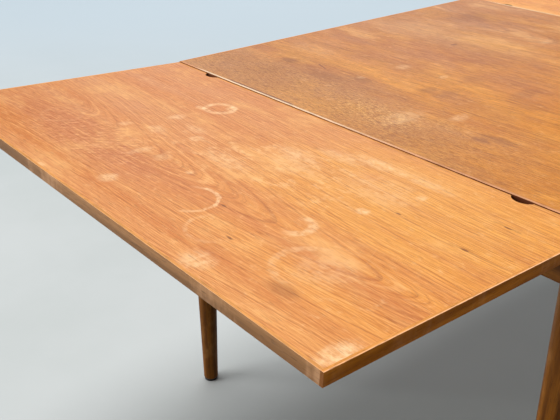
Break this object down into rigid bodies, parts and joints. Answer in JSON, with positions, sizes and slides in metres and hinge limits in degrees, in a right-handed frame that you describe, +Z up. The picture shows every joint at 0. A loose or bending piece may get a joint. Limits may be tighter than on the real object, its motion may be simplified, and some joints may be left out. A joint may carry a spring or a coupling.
{
  "type": "draw leaf dining table",
  "caption": "Teak dining table with a loose lift-off top, draw leaves on tapered bearers at both ends and round tapered legs.",
  "frame": {"origin": "on the floor, under the centre of the main top, in the middle of the four feet", "axes": "+Z up; +X along the table's length, towards the far leaf; +Y across the width, towards the left side"},
  "size_m": [1.7056, 0.854, 0.7543],
  "materials": {
    "teak_leg": "oiled",
    "teak_apron": "oiled",
    "teak_top_veneer": "oiled, worn",
    "teak_leaf_veneer": "oiled",
    "teak_back_veneer": "raw",
    "teak_lipping": "oiled",
    "particle_board": "raw",
    "beech": "raw",
    "steel": "zinc plated",
    "glide_plastic": "matt",
    "felt": "felt"
  },
  "bodies": {
    "frame": {"near_left_leg": "teak_leg", "near_right_leg": "teak_leg", "far_left_leg": "teak_leg", "far_right_leg": "teak_leg", "foot_glides": "glide_plastic", "near_end_apron": "teak_apron", "far_end_apron": "teak_apron", "left_side_apron": "teak_apron", "right_side_apron": "teak_apron", "left_guide_rail": "beech", "right_guide_rail": "beech", "left_peg_block": "beech", "right_peg_block": "beech", "near_left_corner_block": "beech", "near_right_corner_block": "beech", "far_left_corner_block": "beech", "far_right_corner_block": "beech", "corner_screws": "steel"},
    "main_top": {"main_top_core": "particle_board", "main_top_face_veneer": "teak_top_veneer", "main_top_back_veneer": "teak_back_veneer", "main_top_near_lipping": "teak_lipping", "main_top_far_lipping": "teak_lipping", "main_top_left_lipping": "teak_lipping", "main_top_right_lipping": "teak_lipping", "left_locating_peg": "beech", "right_locating_peg": "beech", "felt_pads": "felt"},
    "near_leaf": {"near_leaf_core": "particle_board", "near_leaf_face_veneer": "teak_leaf_veneer", "near_leaf_back_veneer": "teak_back_veneer", "near_leaf_outer_lipping": "teak_lipping", "near_leaf_inner_lipping": "teak_lipping", "near_leaf_left_lipping": "teak_lipping", "near_leaf_right_lipping": "teak_lipping", "near_leaf_left_bearer": "beech", "near_leaf_right_bearer": "beech", "near_leaf_bearer_screws": "steel", "near_leaf_guide_pins": "beech"},
    "far_leaf": {"far_leaf_core": "particle_board", "far_leaf_face_veneer": "teak_leaf_veneer", "far_leaf_back_veneer": "teak_back_veneer", "far_leaf_outer_lipping": "teak_lipping", "far_leaf_inner_lipping": "teak_lipping", "far_leaf_left_lipping": "teak_lipping", "far_leaf_right_lipping": "teak_lipping", "far_leaf_left_bearer": "beech", "far_leaf_right_bearer": "beech", "far_leaf_bearer_screws": "steel", "far_leaf_guide_pins": "beech"}
  },
  "joints": [
    {"name": "main_top_lift", "type": "slide", "parent": "frame", "child": "main_top", "axis": [0, 0, 1], "range_m": [0, 0.06]},
    {"name": "near_leaf_draw", "type": "slide", "parent": "frame", "child": "near_leaf", "axis": [-0.9984, 0, 0.0558], "range_m": [0, 0.015]},
    {"name": "far_leaf_draw", "type": "slide", "parent": "frame", "child": "far_leaf", "axis": [0.9984, 0, 0.0558], "range_m": [0, 0.015]}
  ]
}
